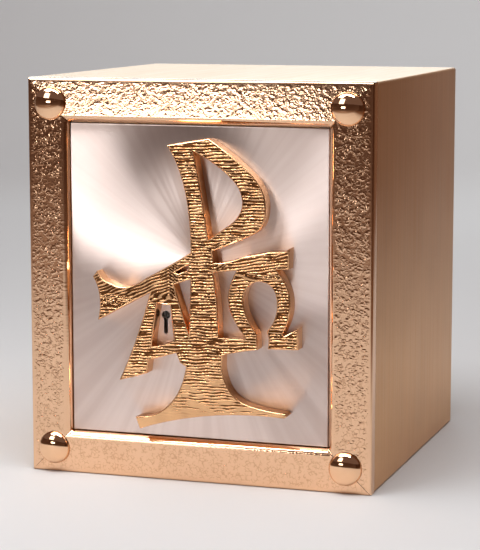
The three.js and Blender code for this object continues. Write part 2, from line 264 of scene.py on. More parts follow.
def cylinder_along_y(radius: float, front: float, back: float, x: float, z: float) -> Piece:
    """Makes a round tool that lies along Y.

    Args:
        radius: Its radius in millimetres.
        front: The depth of its front end.
        back: The depth of its back end.
        x: Its middle across.
        z: Its middle up.

    Returns:
        The tool.
    """
    deselect_all()
    bpy.ops.mesh.primitive_cylinder_add(
        vertices=64,
        radius=radius * MM,
        depth=(back - front) * MM,
        location=place(x, (front + back) / 2, z),
        rotation=(math.pi / 2, 0, 0),
    )
    tool = bpy.context.object
    apply_transform(tool)
    return tool


def block(name: str, low: Vector, high: Vector) -> Piece:
    """Adds a box between two corners, with its place in its mesh.

    Args:
        name: The object's name.
        low: The lowest corner in metres.
        high: The highest corner in metres.

    Returns:
        The box.
    """
    deselect_all()
    bpy.ops.mesh.primitive_cube_add(size=1, location=(low + high) / 2)
    piece = bpy.context.object
    piece.name = name
    piece.scale = high - low
    apply_transform(piece)
    return piece


def trace(name: str, outline: Sequence[tuple[float, float]], front: float, back: float) -> Piece:
    """Draws a closed outline point by point, fills it and gives it thickness.

    Args:
        name: The object's name.
        outline: Its corners as millimetres across and up.
        front: The depth of its front face.
        back: The depth of its back face.

    Returns:
        The solid.
    """
    points = [place(x, front, z) for x, z in outline]
    deselect_all()
    bpy.ops.mesh.primitive_plane_add(size=MM)
    piece = bpy.context.object
    piece.name = name
    with editing(piece):
        bpy.ops.mesh.select_mode(type="VERT")
        bpy.ops.mesh.select_all(action="SELECT")
        bpy.ops.mesh.merge(type="CENTER")
        bpy.ops.transform.translate(value=points[0])
        for last, point in zip(points, points[1:]):
            extrude(point - last)
        bpy.ops.mesh.select_all(action="SELECT")
        bpy.ops.mesh.edge_face_add()
        bpy.ops.mesh.select_mode(type="FACE")
        bpy.ops.mesh.select_all(action="SELECT")
        extrude(Vector((0, (back - front) * MM, 0)))
        bpy.ops.mesh.select_all(action="SELECT")
        bpy.ops.mesh.normals_make_consistent(inside=False)
    return piece


# Shader helpers


class Graph:
    """The nodes of one material or group, added and joined by short calls."""

    def __init__(self, tree: bpy.types.NodeTree) -> None:
        """Starts on an empty tree.

        Args:
            tree: The node tree to fill.
        """
        self.tree = tree
        self.tree.nodes.clear()

    def feed(self, socket: bpy.types.NodeSocket, value: object) -> None:
        """Gives an input its value, or links another node's output to it.

        Args:
            socket: The input.
            value: A value or an output socket.
        """
        if isinstance(value, bpy.types.NodeSocket):
            self.tree.links.new(value, socket)
        else:
            socket.default_value = value

    def add(self, kind: str, inputs: dict | None = None, **settings: object) -> bpy.types.Node:
        """Adds a node, with its settings and its inputs' values or links.

        Args:
            kind: The node type after "ShaderNode".
            inputs: A value or a socket for each input, by its name or number.
            settings: The node's own settings.

        Returns:
            The node.
        """
        node = self.tree.nodes.new(f"ShaderNode{kind}")
        node.location = (NODE_SPACING * len(self.tree.nodes), 0)
        for key, value in settings.items():
            setattr(node, key, value)
        for key, value in (inputs or {}).items():
            self.feed(node.inputs[key], value)
        return node

    def use(self, group: bpy.types.NodeTree, **inputs: object) -> bpy.types.Node:
        """Places a node group with its own values.

        Args:
            group: The node group.
            inputs: A value or a socket for each of its inputs.

        Returns:
            The group's node.
        """
        return self.add("Group", inputs, node_tree=group)

    def math(self, operation: str, *values: object) -> bpy.types.NodeSocket:
        """Adds a Math node.

        Args:
            operation: The node's operation.
            values: Its inputs, as numbers or sockets.

        Returns:
            Its output.
        """
        return self.add("Math", dict(enumerate(values)), operation=operation).outputs[0]

    def vector(self, operation: str, *values: object) -> bpy.types.NodeSocket:
        """Adds a Vector Math node.

        Args:
            operation: The node's operation.
            values: Its inputs, as vectors or sockets.

        Returns:
            Its output.
        """
        return self.add("VectorMath", dict(enumerate(values)), operation=operation).outputs[0]

    def scaled(self, vector: object, scale: Sequence[float]) -> bpy.types.NodeSocket:
        """Stretches a vector by a scale for each axis.

        Args:
            vector: The vector's socket.
            scale: Three factors.

        Returns:
            The stretched vector.
        """
        return self.vector("MULTIPLY", vector, tuple(scale))

    def noise(
        self, vector: object, scale: object, detail: float = 2.0, out: int = 0
    ) -> bpy.types.NodeSocket:
        """Adds a Noise texture.

        Args:
            vector: Where it is read.
            scale: How fine it is, as a number or a socket.
            detail: Its octaves.
            out: 0 for its value, 1 for its colour.

        Returns:
            Its value or colour.
        """
        return self.add("TexNoise", {"Vector": vector, "Scale": scale, "Detail": detail}).outputs[out]

    def span(
        self, value: object, low: float, high: float, to_low: float = 0.0, to_high: float = 1.0
    ) -> bpy.types.NodeSocket:
        """Maps a range smoothly onto another.

        Args:
            value: The value's socket.
            low: Where the range starts.
            high: Where it ends.
            to_low: What its start becomes.
            to_high: What its end becomes.

        Returns:
            The mapped value.
        """
        inputs = {0: value, 1: low, 2: high, 3: to_low, 4: to_high}
        return self.add("MapRange", inputs, interpolation_type="SMOOTHSTEP").outputs[0]

    def blend(self, factor: object, first: object, second: object) -> bpy.types.NodeSocket:
        """Mixes two colours.

        Args:
            factor: How much of the second.
            first: A colour or a socket.
            second: A colour or a socket.

        Returns:
            The mixed colour.
        """
        inputs = {0: factor}
        for key, colour in ((6, first), (7, second)):
            inputs[key] = colour if isinstance(colour, bpy.types.NodeSocket) else (*colour, 1.0)
        return self.add("Mix", inputs, data_type="RGBA").outputs[2]

    def coordinates(self) -> bpy.types.NodeSocket:
        """Gives the place on the piece, in metres."""
        return self.add("TexCoord").outputs["Object"]


def new_group(
    name: str, inputs: dict[str, float], outputs: Sequence[str]
) -> tuple[Graph, bpy.types.Node]:
    """Starts a node group with a Vector input, further values, and value outputs.

    Args:
        name: The group's name.
        inputs: Each further input's name and default value.
        outputs: The outputs' names.

    Returns:
        A graph on the group, and the node that gives its inputs.
    """
    tree = bpy.data.node_groups.new(name, "ShaderNodeTree")
    graph = Graph(tree)
    tree.interface.new_socket("Vector", in_out="INPUT", socket_type="NodeSocketVector")
    for label, value in inputs.items():
        socket = tree.interface.new_socket(label, in_out="INPUT", socket_type="NodeSocketFloat")
        socket.default_value = value
    for label in outputs:
        tree.interface.new_socket(label, in_out="OUTPUT", socket_type="NodeSocketFloat")
    return graph, tree.nodes.new("NodeGroupInput")


def close_group(graph: Graph, outputs: dict[str, bpy.types.NodeSocket]) -> bpy.types.NodeTree:
    """Joins a group's results to its outputs.

    Args:
        graph: The group's graph.
        outputs: Each output's name and the socket that feeds it.

    Returns:
        The group.
    """
    end = graph.tree.nodes.new("NodeGroupOutput")
    for label, socket in outputs.items():
        graph.feed(end.inputs[label], socket)
    return graph.tree


@dataclass
class Effects:
    """The effects that several finishes share, each built once as a node group."""

    stroke_span: Range = (0.3, 0.7)
    band_ratio: float = 0.3
    cloud_span: Range = (0.35, 0.68)
    speck_ratio: float = 22.0
    speck_span: Range = (0.62, 0.72)
    swirl_scale: float = 420.0
    ridge_width: float = 0.16
    break_scale: float = 310.0
    break_span: Range = (0.42, 0.56)
    crumple_scale: float = 900.0
    crumple_height: float = 0.35

    def __post_init__(self) -> None:
        """Builds the groups."""
        self.brushing = self._brushing()
        self.wear = self._wear()
        self.grain = self._grain()

    def _brushing(self) -> bpy.types.NodeTree:
        """Builds fine parallel strokes: the vector is already stretched along the strokes.

        Returns:
            The group.
        """
        graph, start = new_group("brushing", {"Scale": 900.0}, ("Stroke", "Band"))
        where, scale = start.outputs["Vector"], start.outputs["Scale"]
        fine = graph.noise(where, scale, 3.0)
        wide = graph.noise(where, graph.math("MULTIPLY", scale, self.band_ratio), 2.0)
        return close_group(graph, {
            "Stroke": graph.span(fine, *self.stroke_span),
            "Band": graph.span(wide, *self.stroke_span),
        })

    def _wear(self) -> bpy.types.NodeTree:
        """Builds faint clouds of handling and tarnish, and small specks.

        Returns:
            The group.
        """
        graph, start = new_group("wear", {"Scale": 20.0}, ("Cloud", "Speck"))
        where, scale = start.outputs["Vector"], start.outputs["Scale"]
        cloud = graph.noise(where, scale, 4.0)
        speck = graph.noise(where, graph.math("MULTIPLY", scale, self.speck_ratio), 2.0)
        return close_group(graph, {
            "Cloud": graph.span(cloud, *self.cloud_span),
            "Speck": graph.span(speck, *self.speck_span),
        })

    def _grain(self) -> bpy.types.NodeTree:
        """Builds the crumpled hammering: broken, winding ridges on a nearly flat ground.

        Returns:
            The group.
        """
        graph, start = new_group("grain", {"Ridges": 350.0, "Winding": 0.0011}, ("Height", "Ridge"))
        where = start.outputs["Vector"]
        swirl = graph.vector("SUBTRACT", graph.noise(where, self.swirl_scale, 2.0, 1), (0.5, 0.5, 0.5))
        strength = {0: swirl, "Scale": start.outputs["Winding"]}
        bent = graph.vector("ADD", where, graph.add("VectorMath", strength, operation="SCALE").outputs[0])
        inputs = {"Vector": bent, "Scale": start.outputs["Ridges"]}
        cells = graph.add("TexVoronoi", inputs, feature="DISTANCE_TO_EDGE")
        ridge = graph.span(cells.outputs["Distance"], 0.0, self.ridge_width, 1.0, 0.0)
        broken = graph.span(graph.noise(where, self.break_scale, 1.0), *self.break_span)
        ridge = graph.math("MULTIPLY", ridge, broken)
        crumple = graph.noise(where, self.crumple_scale, 2.0)
        height = graph.math("MULTIPLY_ADD", crumple, self.crumple_height, ridge)
        return close_group(graph, {"Height": height, "Ridge": ridge})


@dataclass(frozen=True)
class Finish:
    """A metal finish, with what all of them share.

    A share says how much of the darker tone a pattern brings. The bump's height is in metres.
    """

    name: str
    colour: Colour
    dark: Colour
    roughness: float
    spread: float
    anisotropy: float = 0.0
    wear_scale: float = 60.0
    wear_share: float = 0.4
    bump_height: float = 0.00002
    bump_strength: float = 0.4

    def start(self) -> tuple[bpy.types.Material, Graph, bpy.types.Node]:
        """Makes the material with its metal shader.

        Returns:
            The material, its graph and its shader.
        """
        material = bpy.data.materials.new(self.name)
        material.use_nodes = True
        material.diffuse_color = (*self.colour, 1.0)
        graph = Graph(material.node_tree)
        shader = graph.add("BsdfPrincipled", {
            "Base Color": (*self.colour, 1.0),
            "Metallic": 1.0,
            "Roughness": self.roughness,
            "Anisotropic": self.anisotropy,
        })
        graph.add("OutputMaterial", {"Surface": shader.outputs[0]})
        return material, graph, shader

    def tone(self, graph: Graph, shader: bpy.types.Node, mask: object, rough: object) -> None:
        """Feeds a mask of the darker tone, and one of the rougher places, to the shader.

        Args:
            graph: The material's graph.
            shader: Its metal shader.
            mask: Where it is darker, from 0 to 1.
            rough: Where it is rougher, from 0 to 1.
        """
        least = self.roughness - self.spread / 2
        graph.feed(shader.inputs["Base Color"], graph.blend(mask, self.colour, self.dark))
        graph.feed(shader.inputs["Roughness"], graph.math("MULTIPLY_ADD", rough, self.spread, least))

    def bump(self, graph: Graph, shader: bpy.types.Node, height: object) -> None:
        """Feeds a height to the shader's normal.

        Args:
            graph: The material's graph.
            shader: Its metal shader.
            height: The height's socket.
        """
        inputs = {"Strength": self.bump_strength, "Distance": self.bump_height, "Height": height}
        graph.feed(shader.inputs["Normal"], graph.add("Bump", inputs).outputs[0])

    def worn(self, graph: Graph, wear: bpy.types.Node) -> bpy.types.NodeSocket:
        """Gives the mask that the clouds of wear bring."""
        return graph.math("MULTIPLY", wear.outputs["Cloud"], self.wear_share)


@dataclass(frozen=True)
class SatinFinish(Finish):
    """Brushed sheet: upright strokes on the sides, strokes along the depth on the flat top."""

    wear_scale: float = 14.0
    bump_strength: float = 0.5
    stretch: float = 0.008
    band_share: float = 0.35
    flat_span: Range = (0.4, 0.6)
    stroke_way: tuple[float, float, float] = (0.0, 0.3, 1.0)

    def make(self, effects: Effects) -> bpy.types.Material:
        """Makes the material.

        Args:
            effects: The shared node groups.

        Returns:
            The material.
        """
        material, graph, shader = self.start()
        where = graph.coordinates()
        normal = graph.add("NewGeometry").outputs["Normal"]
        rise = graph.math("ABSOLUTE", graph.add("SeparateXYZ", {0: normal}).outputs[2])
        flat = graph.span(rise, *self.flat_span)
        sides = graph.use(effects.brushing, Vector=graph.scaled(where, (1, 1, self.stretch)))
        top = graph.use(effects.brushing, Vector=graph.scaled(where, (1, self.stretch, 1)))
        stroke = self._choose(graph, flat, sides.outputs["Stroke"], top.outputs["Stroke"])
        band = self._choose(graph, flat, sides.outputs["Band"], top.outputs["Band"])
        wear = graph.use(effects.wear, Vector=where, Scale=self.wear_scale)
        mask = graph.math("MULTIPLY_ADD", band, self.band_share, self.worn(graph, wear))
        self.tone(graph, shader, mask, stroke)
        self.bump(graph, shader, stroke)
        graph.feed(shader.inputs["Tangent"], graph.vector("CROSS_PRODUCT", normal, self.stroke_way))
        return material

    @staticmethod
    def _choose(graph: Graph, flat: object, upright: object, lying: object) -> bpy.types.NodeSocket:
        """Takes one value on upright faces and another on flat ones.

        Args:
            graph: The material's graph.
            flat: 1 on flat faces.
            upright: The value on upright faces.
            lying: The value on flat faces.

        Returns:
            The chosen value.
        """
        return graph.add("Mix", {0: flat, 2: upright, 3: lying}, data_type="FLOAT").outputs[0]


@dataclass(frozen=True)
class HammeredFinish(Finish):
    """Bright gilding over a crumpled hammer relief."""

    wear_scale: float = 30.0
    wear_share: float = 0.12
    bump_height: float = 0.0001
    bump_strength: float = 0.5
    ridge_scale: float = 350.0
    winding: float = 0.0011
    ridge_share: float = 0.6

    def make(self, effects: Effects) -> bpy.types.Material:
        """Makes the material.

        Args:
            effects: The shared node groups.

        Returns:
            The material.
        """
        material, graph, shader = self.start()
        where = graph.coordinates()
        face = graph.add("Attribute", attribute_name="relief").outputs["Fac"]
        grain = graph.use(effects.grain, Vector=where, Ridges=self.ridge_scale, Winding=self.winding)
        wear = graph.use(effects.wear, Vector=where, Scale=self.wear_scale)
        ridges = graph.math("MULTIPLY", grain.outputs["Ridge"], face)
        lines = graph.math("MULTIPLY", ridges, self.ridge_share)
        mask = graph.math("MULTIPLY_ADD", wear.outputs["Cloud"], self.wear_share, lines)
        self.tone(graph, shader, mask, wear.outputs["Speck"])
        self.bump(graph, shader, graph.math("MULTIPLY", grain.outputs["Height"], face))
        return material


@dataclass(frozen=True)
class MirrorFinish(Finish):
    """Polished gilding with a trace of handling."""

    bump_height: float = 0.00003
    bump_strength: float = 0.25

    def make(self, effects: Effects) -> bpy.types.Material:
        """Makes the material.

        Args:
            effects: The shared node groups.

        Returns:
            The material.
        """
        material, graph, shader = self.start()
        wear = graph.use(effects.wear, Vector=graph.coordinates(), Scale=self.wear_scale)
        self.tone(graph, shader, self.worn(graph, wear), wear.outputs["Cloud"])
        self.bump(graph, shader, wear.outputs["Cloud"])
        return material


@dataclass(frozen=True)
class CastFinish(Finish):
    """A gilt casting: bright ridges, and painted shade as darker metal down in the bark-like grooves."""

    wear_share: float = 0.15
    bump_height: float = 0.00012
    bump_strength: float = 0.2
    # How deep a groove must be for its painted shade to start and to be full.
    groove_shade_span: Range = (0.08, 0.4)
    stroke_stretch: tuple[float, float, float] = (0.2, 0.2, 1.0)
    stroke_scale: float = 700.0
    stroke_span: Range = (0.0, 0.2)

    def make(self, effects: Effects) -> bpy.types.Material:
        """Makes the material.

        Args:
            effects: The shared node groups.

        Returns:
            The material.
        """
        material, graph, shader = self.start()
        where = graph.coordinates()
        groove = graph.add("Attribute", attribute_name="groove").outputs["Fac"]
        wear = graph.use(effects.wear, Vector=where, Scale=self.wear_scale)
        # Painted shade: the dark tone darkens the metal down in the grooves, more where they are deeper.
        painted_groove_shade = graph.span(groove, *self.groove_shade_span)
        mask = graph.math("MULTIPLY_ADD", wear.outputs["Cloud"], self.wear_share, painted_groove_shade)
        self.tone(graph, shader, mask, wear.outputs["Cloud"])
        strokes = graph.noise(graph.scaled(where, self.stroke_stretch), self.stroke_scale, 1.0)
        worked = graph.span(groove, *self.stroke_span)
        self.bump(graph, shader, graph.math("MULTIPLY", strokes, worked))
        return material


@dataclass(frozen=True)
class RadialFinish(Finish):
    """Silver plate brushed in straight strokes that radiate from one point."""

    wear_scale: float = 12.0
    wear_share: float = 0.2
    bump_height: float = 0.00001
    bump_strength: float = 0.1
    centre: Vector = field(default_factory=lambda: place(2, DOOR_SETBACK, 176))
    drift: float = 0.15
    stroke_scale: float = 60.0
    band_share: float = 0.45

    def make(self, effects: Effects) -> bpy.types.Material:
        """Makes the material.

        Args:
            effects: The shared node groups.

        Returns:
            The material.
        """
        material, graph, shader = self.start()
        where = graph.coordinates()
        arm = graph.scaled(graph.vector("SUBTRACT", where, tuple(self.centre)), (1, 0, 1))
        ray = graph.vector("NORMALIZE", arm)
        length = graph.add("VectorMath", {0: arm}, operation="LENGTH").outputs["Value"]
        along = graph.math("MULTIPLY", length, self.drift)
        offset = graph.add("CombineXYZ", {1: along}).outputs[0]
        spread = graph.vector("ADD", ray, offset)
        band = graph.use(effects.brushing, Vector=spread, Scale=self.stroke_scale).outputs["Band"]
        wear = graph.use(effects.wear, Vector=where, Scale=self.wear_scale)
        mask = graph.math("MULTIPLY_ADD", band, self.band_share, self.worn(graph, wear))
        self.tone(graph, shader, mask, band)
        self.bump(graph, shader, band)
        across = graph.vector("CROSS_PRODUCT", ray, (0.0, 1.0, 0.0))
        turned = graph.add(
            "VectorTransform", {0: across}, vector_type="VECTOR", convert_from="OBJECT", convert_to="WORLD"
        )
        graph.feed(shader.inputs["Tangent"], turned.outputs[0])
        return material


@dataclass(frozen=True)
class SteelFinish(Finish):
    """Plain plated steel, drawn along X."""

    wear_scale: float = 45.0
    stretch: float = 0.02
    stroke_scale: float = 1100.0
    stroke_share: float = 0.4

    def make(self, effects: Effects) -> bpy.types.Material:
        """Makes the material.

        Args:
            effects: The shared node groups.

        Returns:
            The material.
        """
        material, graph, shader = self.start()
        where = graph.coordinates()
        drawn = graph.scaled(where, (self.stretch, 1, 1))
        strokes = graph.use(effects.brushing, Vector=drawn, Scale=self.stroke_scale)
        wear = graph.use(effects.wear, Vector=where, Scale=self.wear_scale)
        worn = self.worn(graph, wear)
        mask = graph.math("MULTIPLY_ADD", strokes.outputs["Stroke"], self.stroke_share, worn)
        self.tone(graph, shader, mask, strokes.outputs["Band"])
        self.bump(graph, shader, strokes.outputs["Stroke"])
        return material


@dataclass(frozen=True)
class Finishes:
    """The finishes of the whole piece, by the record's slots."""

    satin_gold: Finish = SatinFinish(
        "satin_gold", (0.82, 0.46, 0.20), (0.71, 0.38, 0.15), roughness=0.33, spread=0.1, anisotropy=0.5
    )
    hammered_gold: Finish = HammeredFinish(
        "hammered_gold", (0.90, 0.58, 0.37), (0.60, 0.33, 0.18), roughness=0.12, spread=0.05
    )
    polished_gold: Finish = MirrorFinish(
        "polished_gold", (0.94, 0.60, 0.37), (0.86, 0.52, 0.31), roughness=0.05, spread=0.04
    )
    # Its dark tone is painted shade down in the casting's grooves.
    cast_gold: Finish = CastFinish(
        "cast_gold", (0.91, 0.53, 0.27), (0.12, 0.045, 0.015), roughness=0.24, spread=0.06
    )
    brushed_silver: Finish = RadialFinish(
        "brushed_silver", (0.92, 0.78, 0.72), (0.79, 0.64, 0.58),
        roughness=0.37, spread=0.05, anisotropy=1.0,
    )
    lock_steel: Finish = SteelFinish(
        "lock_steel", (0.56, 0.56, 0.55), (0.42, 0.42, 0.41), roughness=0.36, spread=0.12, anisotropy=0.3
    )

    def make_all(self) -> dict[str, bpy.types.Material]:
        """Makes every finish's material.

        Returns:
            The materials by slot.
        """
        effects = Effects()
        return {slot.name: getattr(self, slot.name).make(effects) for slot in fields(self)}


# Pieces


def dress(
    piece: Piece, materials: dict[str, bpy.types.Material], slot: str, body: Body, *nodes: str
) -> None:
    """Gives a finished piece its material, its body and the solid that it stands for.

    Args:
        piece: The finished object.
        materials: The materials by slot.
        slot: The record's slot of the piece's finish.
        body: The body that it moves with.
        nodes: The solids that it replaces.
    """
    piece.data.materials.clear()
    piece.data.materials.append(materials[slot])
    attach(piece, body.value)
    if nodes:
        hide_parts(*nodes)
    triangles = sum(len(p.vertices) - 2 for p in piece.data.polygons)
    log.info("%s rides on %s, %d triangles", piece.name, body.value, triangles)


@dataclass
class Cabinet:
    """The folded sheet wrap, with an eased rear rim."""

    sheet: float = 2.5
    fold_radius: float = 2.4
    rear_radius: float = 2.0
    front: float = 10.8
    rim_share: float = 0.9

    def build(self) -> Piece:
        """Models the wrap from a box with open ends.

        Returns:
            The wrap.
        """
        low, high = place(-WIDTH / 2, self.front, 0), place(WIDTH / 2, DEPTH, HEIGHT)
        wrap = block("sheet_wrap", low, high)
        with editing(wrap):
            pick(wrap, Pick.FACE, lambda p: abs(p.y - low.y) < TINY)
            bpy.ops.mesh.delete(type="FACE")
            pick(wrap, Pick.FACE, lambda p: abs(p.y - high.y) < TINY)
            bpy.ops.mesh.delete(type="FACE")
            for x in (low.x, high.x):
                for z in (low.z, high.z):
                    pick(wrap, Pick.EDGE, lambda p: abs(p.x - x) < TINY and abs(p.z - z) < TINY)
                    bpy.ops.mesh.bevel(offset=self.fold_radius * MM, segments=8, affect="EDGES")
        modify(wrap, "SOLIDIFY", thickness=self.sheet * MM, offset=-1.0)
        self._ease_rear_rim(wrap, high.y)
        clean(wrap)
        return wrap

    def _ease_rear_rim(self, wrap: Piece, back: float) -> None:
        """Rounds the outer edge of the rear rim.

        Args:
            wrap: The sheet wrap.
            back: Where its rear end lies.
        """
        inset = self.sheet * MM * self.rim_share
        reach = Vector((WIDTH / 2, 0, HEIGHT / 2)) * MM - Vector((1, 0, 1)) * inset

        def on_outer_rim(p: Vector) -> bool:
            """Says whether a point is on the rear end's outer loop."""
            outside = abs(p.x) > reach.x or abs(p.z - HEIGHT * MM / 2) > reach.z
            return abs(p.y - back) < TINY and outside

        with editing(wrap):
            pick(wrap, Pick.EDGE, on_outer_rim)
            bpy.ops.mesh.bevel(offset=self.rear_radius * MM, segments=5, affect="EDGES", clamp_overlap=True)


@dataclass(frozen=True)
class HammerMarks:
    """The pattern of the hammered relief, with places counted in rings and heights from 0 to 1."""

    bend_pitch: float = 1.3
    bend: float = 0.55
    crest_width: float = 0.24
    break_pitch: float = 0.9
    break_shift: tuple[float, float, float] = (5.3, 0.0, 1.7)
    break_blur: float = 0.12
    swell_pitch: float = 0.45
    crest_height: float = 0.8
    swell_height: float = 0.15
    edge_height: float = 0.1

    def height(self, where: Vector, edge: float) -> float:
        """Gives the height of the relief: thin winding crests, broken up, on a smooth ground.

        Args:
            where: The place, counted in rings.
            edge: 0 at the face's edges and 1 inside.

        Returns:
            A height from 0 to 1.
        """
        bent = where + noise.noise_vector(where * self.bend_pitch) * self.bend
        nearest = noise.voronoi(bent)[0]
        crest = 1 - smoothstep(0.0, self.crest_width, nearest[1] - nearest[0])
        gaps = noise.noise(where * self.break_pitch + Vector(self.break_shift))
        broken = smoothstep(-self.break_blur, self.break_blur, gaps)
        swell = 0.5 + 0.5 * noise.noise(where * self.swell_pitch)
        inside = self.crest_height * crest * broken + self.swell_height * swell
        return self.edge_height + edge * (inside - self.edge_height)


@dataclass
class Moulding:
    """Four mitred lengths with a hammered face, a rounded outer edge and a smooth inner bevel."""

    thickness: float = 10.5
    face_rise: float = 2.5
    bevel_width: float = 4.5
    bevel_depth: float = 4.0
    edge_radius: float = 2.2
    edge_steps: int = 5
    mitre_gap: float = 0.3
    cell: float = 0.48
    quick_factor: int = 4
    ring: float = 3.0
    relief: float = 0.19
    top_share: float = 0.4
    side_shift: float = 2.7
    outer_fade: float = 0.04
    inner_fade: float = 0.03
    grain_depth: float = 0.6
    grain_rise: float = 10.0
    marks: HammerMarks = HammerMarks()

    @property
    def face_width(self) -> float:
        """The hammered face's width across the length."""
        return MOULDING_WIDTH - self.bevel_width - self.edge_radius

    def build(self) -> dict[Side, Piece]:
        """Models the four lengths.

        Returns:
            The lengths by side.
        """
        lengths = {}
        for side in Side:
            upright = side in (Side.LEFT, Side.RIGHT)
            length, reach = (HEIGHT, WIDTH / 2) if upright else (WIDTH, HEIGHT / 2)
            bar = self._bar(f"hammered_{side.name.lower()}", length, reach)
            self._hammer(bar, reach, side)
            self._mitre(bar, length, reach)
            bar.rotation_euler = Euler((0, side.value * math.pi / 2, 0))
            bar.location = (0, 0, HEIGHT * MM / 2)
            apply_transform(bar)
            clean(bar, 50.0)
            lengths[side] = bar
        return lengths

    def _bar(self, name: str, length: float, reach: float) -> Piece:
        """Models one square-ended length, lying along X with its outer edge down.

        Args:
            name: The object's name.
            length: Its length.
            reach: How far its outer edge lies from the middle of the frame.

        Returns:
            The length.
        """
        cell = self.cell * 1
        span = math.hypot(self.face_width, self.face_rise)
        tilt = math.atan2(self.face_rise, self.face_width)
        middle = self.edge_radius + self.face_width / 2
        deselect_all()
        bpy.ops.mesh.primitive_grid_add(
            x_subdivisions=round(length / cell),
            y_subdivisions=round(span / cell),
            size=1,
            rotation=(math.pi / 2 + tilt, 0, 0),
            location=place(0, -self.face_rise / 2, middle - reach),
        )
        bar = bpy.context.object
        bar.name = name
        bar.scale = (length * MM, span * MM, 1)
        apply_transform(bar)
        outer = place(0, 0, self.edge_radius - reach)
        inner = place(0, 0, middle + self.face_width / 2 - reach)
        centre = place(0, self.edge_radius, self.edge_radius - reach)
        with editing(bar):
            pick(bar, Pick.EDGE, lambda p: p.z < outer.z + TINY * 5)
            bpy.ops.mesh.spin(steps=self.edge_steps, angle=-math.pi / 2, center=centre, axis=(1, 0, 0))
            extrude(Vector((0, self.thickness - self.edge_radius, 0)) * MM)
            pick(bar, Pick.EDGE, lambda p: p.z > inner.z - TINY * 5)
            extrude(Vector((0, self.bevel_depth, self.bevel_width)) * MM)
            extrude(Vector((0, self.thickness + self.face_rise - self.bevel_depth, 0)) * MM)
            extrude(Vector((0, 0, -MOULDING_WIDTH)) * MM)
            bpy.ops.mesh.select_all(action="SELECT")
            bpy.ops.mesh.remove_doubles(threshold=MERGE)
        return bar

    def _hammer(self, bar: Piece, reach: float, side: Side) -> None:
        """Raises the hammered relief on the face.

        Args:
            bar: The length.
            reach: How far its outer edge lies from the middle of the frame.
            side: Which side it is, so that no two are alike.
        """
        most = self.top_share if side is Side.TOP else 1.0
        group = bar.vertex_groups.new(name="press")
        shift = Vector((0, side.value * self.side_shift, 0))
        for vertex in bar.data.vertices:
            inward = vertex.co.z / MM + reach
            share = (inward - self.edge_radius) / self.face_width
            face = place(0, -self.face_rise * share, 0).y
            if -0.001 <= share <= 1.001 and abs(vertex.co.y - face) < 5 * TINY:
                edge = smoothstep(0, self.outer_fade, share) * smoothstep(0, self.inner_fade, 1 - share)
                height = self.marks.height(vertex.co / (self.ring * MM) + shift, edge)
                group.add([vertex.index], height * most, "REPLACE")
        modify(
            bar, "DISPLACE", strength=-self.relief * MM, mid_level=0.0, direction="Y",
            space="LOCAL", vertex_group="press",
        )
        self._mark_face(bar, reach, most)

    def _mark_face(self, bar: Piece, reach: float, most: float) -> None:
        """Stores how strongly the fine grain shows at each point, for the finish.

        Args:
            bar: The length.
            reach: How far its outer edge lies from the middle of the frame.
            most: How strongly it shows in the middle of the face.
        """
        mark = bar.data.attributes.new("relief", "FLOAT", "POINT")
        for vertex in bar.data.vertices:
            inward = vertex.co.z / MM + reach
            share = (inward - self.edge_radius) / self.face_width
            shallow = (vertex.co.y - place(0, 0, 0).y) / MM < self.grain_depth
            inside = min(share, 1 - share) if shallow else 0.0
            mark.data[vertex.index].value = most * max(0.0, min(1.0, inside * self.grain_rise))

    def _mitre(self, bar: Piece, length: float, reach: float) -> None:
        """Cuts both ends at 45 degrees.

        Args:
            bar: The length.
            length: Its length at the outer edge.
            reach: How far its outer edge lies from the middle of the frame.
        """
        end = length / 2 - self.mitre_gap / math.sqrt(2)
        with editing(bar):
            for way in (-1, 1):
                bpy.ops.mesh.select_all(action="SELECT")
                corner = place(way * end, 0, -reach)
                bpy.ops.mesh.bisect(plane_co=corner, plane_no=(way, 0, 1), use_fill=True, clear_outer=True)


@dataclass
class Studs:
    """Four low polished domes, each in a round seat on a mitre."""

    radius: float = 12.9
    rise: float = 6.4
    inset: float = 20.0
    spring_depth: float = -2.0
    seat_depth: float = 0.8
    cut_from: float = -20.0

    def places(self) -> dict[str, tuple[float, float]]:
        """Gives the four middles across and up."""
        x = WIDTH / 2 - self.inset
        return {
            "bottom_left": (-x, self.inset),
            "bottom_right": (x, self.inset),
            "top_left": (-x, HEIGHT - self.inset),
            "top_right": (x, HEIGHT - self.inset),
        }

    def cut_seats(self, bars: dict[Side, Piece]) -> None:
        """Sinks the studs' seats into the moulding.

        Args:
            bars: The moulding's lengths.
        """
        floor = self.seat_depth + TOUCH_GAP
        ends = {
            Side.BOTTOM: ("bottom_left", "bottom_right"),
            Side.TOP: ("top_left", "top_right"),
            Side.LEFT: ("bottom_left", "top_left"),
            Side.RIGHT: ("bottom_right", "top_right"),
        }
        for side, corners in ends.items():
            for corner in corners:
                radius = self.radius + TOUCH_GAP / 2
                tool = cylinder_along_y(radius, self.cut_from, floor, *self.places()[corner])
                combine(bars[side], tool, "DIFFERENCE")

    def build(self) -> dict[str, Piece]:
        """Models one dome and copies it.

        Returns:
            The studs by corner.
        """
        deselect_all()
        bpy.ops.mesh.primitive_uv_sphere_add(
            segments=72, ring_count=36, radius=1, rotation=(math.pi / 2, 0, 0),
        )
        dome = bpy.context.object
        dome.scale = (self.radius * MM, self.radius * MM, self.rise * MM)
        apply_transform(dome)
        with editing(dome):
            bpy.ops.mesh.select_all(action="SELECT")
            bpy.ops.mesh.bisect(plane_co=(0, 0, 0), plane_no=(0, 1, 0), clear_outer=True)
            pick(dome, Pick.EDGE, lambda p: p.y > -TINY)
            extrude(Vector((0, (self.seat_depth - self.spring_depth) * MM, 0)))
            bpy.ops.mesh.edge_face_add()
        studs = {}
        for corner, (x, z) in self.places().items():
            stud = copy_of(dome, f"stud_{corner}", place(x, self.spring_depth, z))
            clean(stud, 40.0)
            studs[corner] = stud
        bpy.data.objects.remove(dome)
        return studs


